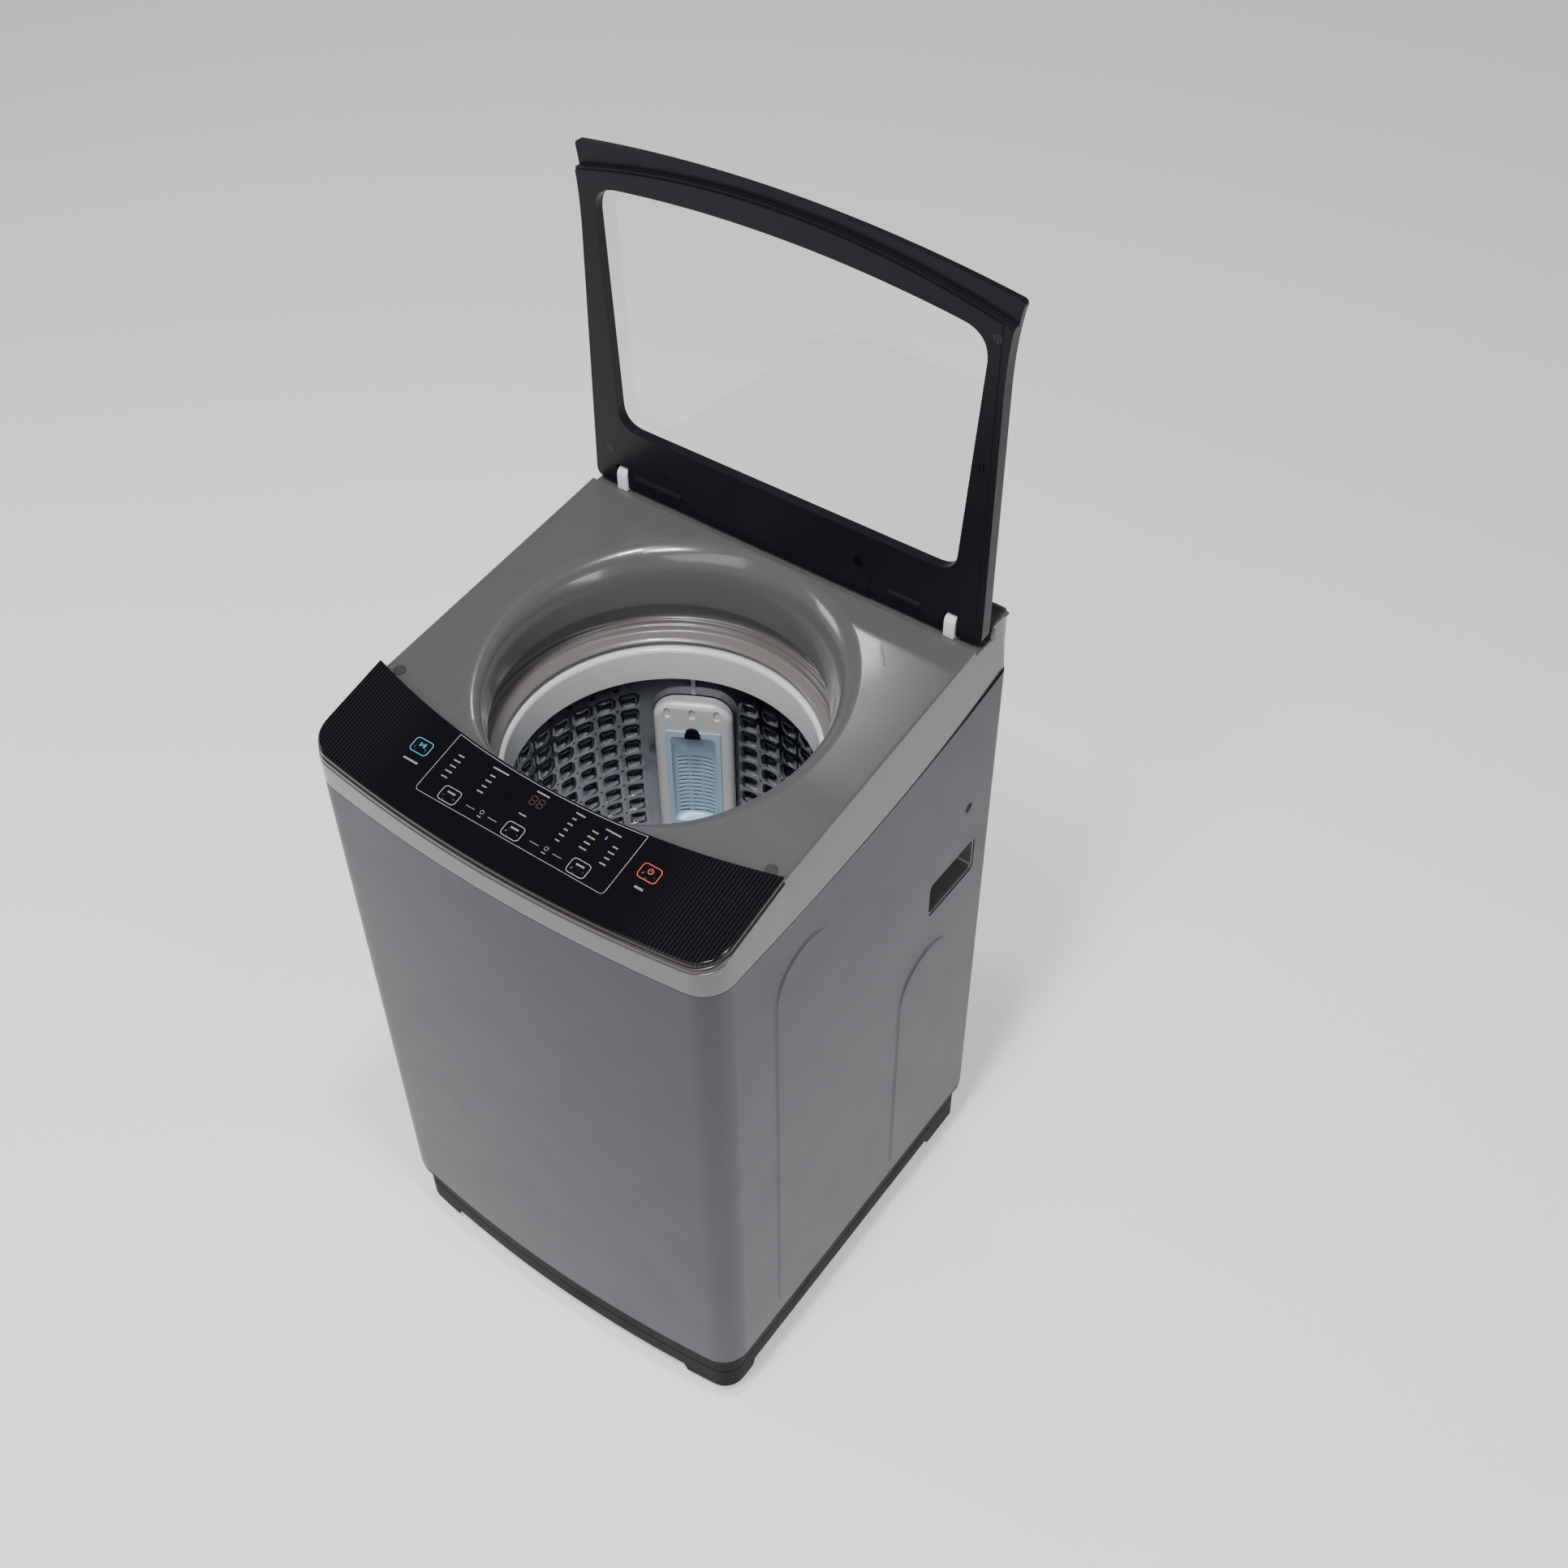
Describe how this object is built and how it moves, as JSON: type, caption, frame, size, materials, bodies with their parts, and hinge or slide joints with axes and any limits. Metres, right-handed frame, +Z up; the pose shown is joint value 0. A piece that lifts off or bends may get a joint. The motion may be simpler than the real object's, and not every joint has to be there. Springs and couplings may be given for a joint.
{
  "type": "top load washing machine",
  "caption": "Top-load washing machine with a hinged window lid, sloping black control panel, suspended tub, perforated drum, lint filter, pulsator and belt drive.",
  "frame": {"origin": "centre of the footprint, on the floor", "axes": "+X to the machine's right seen from the front, +Y to the rear, +Z up"},
  "size_m": [0.55, 0.57, 1.3921],
  "materials": {
    "painted_steel": "grey-violet satin powder coat",
    "cover_plastic": "glossy grey moulding",
    "ring_plastic": "warm grey moulding",
    "pale_plastic": "light grey moulding",
    "black_gloss": "black gloss with printed outlines",
    "black_plastic": "black semi-gloss moulding",
    "bronze_trim": "dark bronze metallic",
    "dark_plastic": "dark grained moulding",
    "tub_plastic": "natural polypropylene",
    "drum_steel": "bright stainless steel",
    "zinc_steel": "zinc plated steel",
    "cast_alloy": "as-cast aluminium",
    "rubber": "black rubber",
    "lid_glass": "clear tempered glass",
    "filter_blue": "translucent blue moulding",
    "circuit": "green circuit board",
    "valve_white": "off-white moulding"
  },
  "bodies": {
    "cabinet": {"cabinet_shell": "painted_steel", "rear_panel": "painted_steel", "top_cover": "cover_plastic", "side_handle_left": "cover_plastic", "side_handle_right": "cover_plastic", "hinge_bracket_left": "pale_plastic", "hinge_bracket_right": "pale_plastic", "control_fascia": "black_gloss", "display_window": "black_gloss", "fascia_trim": "bronze_trim", "base_frame": "dark_plastic", "side_plug": "dark_plastic", "drain_outlet": "dark_plastic", "cord_gland": "dark_plastic", "hinge_pin_left": "drum_steel", "hinge_pin_right": "drum_steel", "foot_locknut": "zinc_steel", "suspension_rod_front_left": "zinc_steel", "suspension_rod_front_right": "zinc_steel", "suspension_rod_rear_left": "zinc_steel", "suspension_rod_rear_right": "zinc_steel", "suspension_spring_front_left": "zinc_steel", "suspension_spring_front_right": "zinc_steel", "suspension_spring_rear_left": "zinc_steel", "suspension_spring_rear_right": "zinc_steel", "foot_front_right": "rubber", "foot_rear_left": "rubber", "foot_rear_right": "rubber", "cover_bumper_left": "rubber", "cover_bumper_right": "rubber", "control_board": "circuit", "inlet_valve": "valve_white", "pressure_sensor": "valve_white"},
    "lid": {"lid_frame": "black_plastic", "lid_glass": "lid_glass"},
    "tub": {"outer_tub": "tub_plastic", "tub_cover": "ring_plastic", "mounting_plate": "zinc_steel", "gearbox_housing": "cast_alloy", "motor": "zinc_steel", "drain_valve": "valve_white", "drive_belt": "rubber"},
    "drum": {"drum_basket": "drum_steel", "balance_ring": "pale_plastic", "drum_flange": "cast_alloy", "spin_tube": "drum_steel", "filter_tower": "pale_plastic"},
    "filter": {"lint_filter": "filter_blue"},
    "latch": {"filter_latch": "dark_plastic"},
    "pulsator": {"pulsator": "pale_plastic", "pulsator_cap": "cover_plastic", "agitator_shaft": "drum_steel"},
    "pulley": {"drive_pulley": "cast_alloy"},
    "rotor": {"motor_pulley": "drum_steel"},
    "levelling_foot": {"foot_front_left": "rubber"},
    "button_start": {"button_start": "black_gloss"},
    "button_process": {"button_process": "black_gloss"},
    "button_custom": {"button_custom": "black_gloss"},
    "button_program": {"button_program": "black_gloss"},
    "button_power": {"button_power": "black_gloss"}
  },
  "joints": [
    {"name": "lid_hinge", "type": "hinge", "parent": "cabinet", "child": "lid", "pos_m": [0, 0.234, 0.97], "axis": [1, 0, 0], "range_deg": [0, 97.3]},
    {"name": "tub_suspension", "type": "slide", "parent": "cabinet", "child": "tub", "axis": [0, 0, 1], "range_m": [-0.015, 0.008], "stiffness_N_per_m": 16000, "springref_m": 0.0209, "deforming": ["suspension_spring_front_left", "suspension_spring_front_right", "suspension_spring_rear_left", "suspension_spring_rear_right"]},
    {"name": "drum_spin", "type": "hinge", "parent": "tub", "child": "drum", "pos_m": [0, 0, 0.6], "axis": [0, 0, 1], "continuous": true},
    {"name": "pulley_spin", "type": "hinge", "parent": "tub", "child": "pulley", "pos_m": [0, 0, 0.21], "axis": [0, 0, 1], "continuous": true},
    {"name": "pulsator_spin", "type": "hinge", "parent": "tub", "child": "pulsator", "pos_m": [0, 0, 0.41], "axis": [0, 0, 1], "continuous": true},
    {"name": "rotor_spin", "type": "hinge", "parent": "tub", "child": "rotor", "pos_m": [0, 0.15, 0.21], "axis": [0, 0, 1], "continuous": true},
    {"name": "filter_tilt", "type": "hinge", "parent": "drum", "child": "filter", "pos_m": [-0.08746, 0.16041, 0.51], "axis": [0.878, 0.4787, 0], "range_deg": [0, 30]},
    {"name": "latch_press", "type": "slide", "parent": "filter", "child": "latch", "axis": [0, 0, -1], "range_m": [0, 0.003], "stiffness_N_per_m": 150},
    {"name": "foot_adjust", "type": "slide", "parent": "cabinet", "child": "levelling_foot", "axis": [0, 0, -1], "range_m": [0, 0.012]},
    {"name": "press_start", "type": "slide", "parent": "cabinet", "child": "button_start", "axis": [0, 0.2419, -0.9703], "range_m": [0, 0.0012], "stiffness_N_per_m": 600},
    {"name": "press_process", "type": "slide", "parent": "cabinet", "child": "button_process", "axis": [0, 0.2419, -0.9703], "range_m": [0, 0.0012], "stiffness_N_per_m": 600},
    {"name": "press_custom", "type": "slide", "parent": "cabinet", "child": "button_custom", "axis": [0, 0.2419, -0.9703], "range_m": [0, 0.0012], "stiffness_N_per_m": 600},
    {"name": "press_program", "type": "slide", "parent": "cabinet", "child": "button_program", "axis": [0, 0.2419, -0.9703], "range_m": [0, 0.0012], "stiffness_N_per_m": 600},
    {"name": "press_power", "type": "slide", "parent": "cabinet", "child": "button_power", "axis": [0, 0.2419, -0.9703], "range_m": [0, 0.0012], "stiffness_N_per_m": 600}
  ],
  "couplings": [
    {"joint": "pulsator_spin", "follows": "pulley_spin", "ratio": 0.2},
    {"joint": "rotor_spin", "follows": "pulley_spin", "ratio": 3.2}
  ]
}
